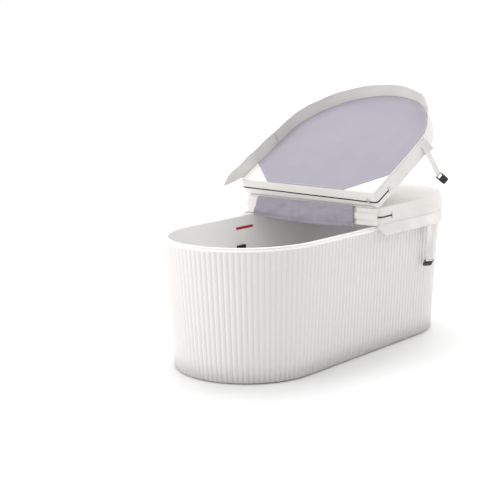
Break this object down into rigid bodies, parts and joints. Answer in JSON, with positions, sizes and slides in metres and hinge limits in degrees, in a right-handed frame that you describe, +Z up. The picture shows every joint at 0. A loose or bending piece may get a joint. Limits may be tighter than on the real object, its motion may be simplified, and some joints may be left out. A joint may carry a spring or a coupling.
{
  "type": "cold plunge tub",
  "caption": "Fluted oval cold plunge tub with a padded cover that folds in half, skirts and straps on the cover, hose ports, overflow, waste stopper and drain valve.",
  "frame": {"origin": "centre of the tub's footprint on the floor, on the underside of the middle foot", "axes": "+X along the tub towards the end whose cover half stays down, +Y to the long side with the hose ports, +Z up"},
  "size_m": [1.7102, 0.9904, 1.2552],
  "materials": {
    "shell_acrylic": "satin",
    "basin_acrylic": "gloss",
    "insulation_foam": "matte",
    "plywood": "matte",
    "frame_steel": "satin",
    "zinc_steel": "satin",
    "rubber_black": "matte",
    "stainless": "satin",
    "pvc_grey": "satin",
    "pvc_white": "satin",
    "lever_paint": "gloss",
    "plastic_black": "satin",
    "mark_red": "matte",
    "vinyl_white": "satin",
    "cover_foam": "matte",
    "lining_grey": "matte",
    "zip_black": "satin",
    "nickel": "polished",
    "webbing_white": "matte",
    "buckle_black": "satin"
  },
  "bodies": {
    "tub": {"outer_shell": "shell_acrylic", "inner_basin": "basin_acrylic", "foam_jacket": "insulation_foam", "base_board": "plywood", "base_rails": "frame_steel", "base_bars": "frame_steel", "frame_screws": "zinc_steel", "foot_pads": "rubber_black", "foot_bolts": "zinc_steel", "foot_nuts": "zinc_steel", "drain_body": "stainless", "drain_gasket": "rubber_black", "drain_nut": "pvc_grey", "drain_elbow": "pvc_grey", "drain_pipe": "pvc_grey", "valve_body": "pvc_grey", "return_fitting": "pvc_white", "return_gasket": "rubber_black", "return_nut": "pvc_grey", "return_tail": "pvc_grey", "suction_fitting": "pvc_white", "suction_gasket": "rubber_black", "suction_nut": "pvc_grey", "suction_tail": "pvc_grey", "suction_grille": "pvc_white", "overflow_cover": "plastic_black", "overflow_gasket": "rubber_black", "overflow_nut": "pvc_grey", "overflow_tail": "pvc_grey", "level_mark": "mark_red"},
    "drain_stopper": {"drain_plug": "stainless", "plug_seal": "rubber_black"},
    "valve_handle": {"valve_ball": "stainless", "valve_lever": "lever_paint", "valve_nut": "zinc_steel"},
    "fixed_half": {"fixed_jacket": "vinyl_white", "fixed_core": "cover_foam", "fixed_channel": "zinc_steel", "fixed_lining": "lining_grey", "fixed_zip": "zip_black", "fixed_skirt": "vinyl_white", "fold_flap": "lining_grey", "hinge_welt": "vinyl_white"},
    "lifted_half": {"lid_jacket": "vinyl_white", "lid_core": "cover_foam", "lid_channel": "zinc_steel", "lid_lining": "lining_grey", "lid_zip": "zip_black", "lid_skirt": "vinyl_white", "lid_tape": "vinyl_white"},
    "zip_pull": {"zip_slider": "nickel"},
    "lid_near_edge": {"lid_skirt_near": "vinyl_white", "lid_strap_near": "webbing_white", "lid_buckle_near": "buckle_black"},
    "lid_far_tie": {"lid_strap_far": "webbing_white", "lid_buckle_far": "buckle_black"},
    "fixed_near_tie": {"fixed_strap_near": "webbing_white", "fixed_buckle_near": "buckle_black"},
    "fixed_far_tie": {"fixed_strap_far": "webbing_white", "fixed_buckle_far": "buckle_black"}
  },
  "joints": [
    {"name": "cover_lift", "type": "slide", "parent": "tub", "child": "fixed_half", "axis": [0, 0, 1], "range_m": [0, 0.25]},
    {"name": "lid_fold", "type": "hinge", "parent": "fixed_half", "child": "lifted_half", "pos_m": [0, 0, 0.714], "axis": [0, 1, 0], "range_deg": [-152, 0]},
    {"name": "lid_near_edge_turn", "type": "hinge", "parent": "lifted_half", "child": "lid_near_edge", "pos_m": [-0.04084, -0.41355, 0.79082], "axis": [-0.8829, 0, -0.4695], "range_deg": [0, 159.6]},
    {"name": "lid_far_tie_turn", "type": "hinge", "parent": "lifted_half", "child": "lid_far_tie", "pos_m": [-0.04084, 0.41355, 0.79082], "axis": [0.8829, 0, 0.4695], "range_deg": [0, 159.6]},
    {"name": "fixed_near_tie_swing", "type": "hinge", "parent": "fixed_half", "child": "fixed_near_tie", "pos_m": [0.408, -0.43782, 0.57664], "axis": [-1, 0, 0], "range_deg": [-2, 110]},
    {"name": "fixed_far_tie_swing", "type": "hinge", "parent": "fixed_half", "child": "fixed_far_tie", "pos_m": [0.408, 0.43782, 0.57664], "axis": [1, 0, 0], "range_deg": [-2, 110]},
    {"name": "zip_slide", "type": "slide", "parent": "lifted_half", "child": "zip_pull", "axis": [0, 1, 0], "range_m": [0, 0.7]},
    {"name": "drain_plug_lift", "type": "slide", "parent": "tub", "child": "drain_stopper", "axis": [0, 0, 1], "range_m": [0, 0.06]},
    {"name": "valve_turn", "type": "hinge", "parent": "tub", "child": "valve_handle", "pos_m": [0.2992, 0.41728, 0.042], "axis": [0, 0, 1], "range_deg": [0, 90]}
  ],
  "couplings": [
    {"joint": "lid_near_edge_turn", "follows": "lid_fold", "ratio": -1.05},
    {"joint": "lid_far_tie_turn", "follows": "lid_fold", "ratio": -1.05}
  ]
}
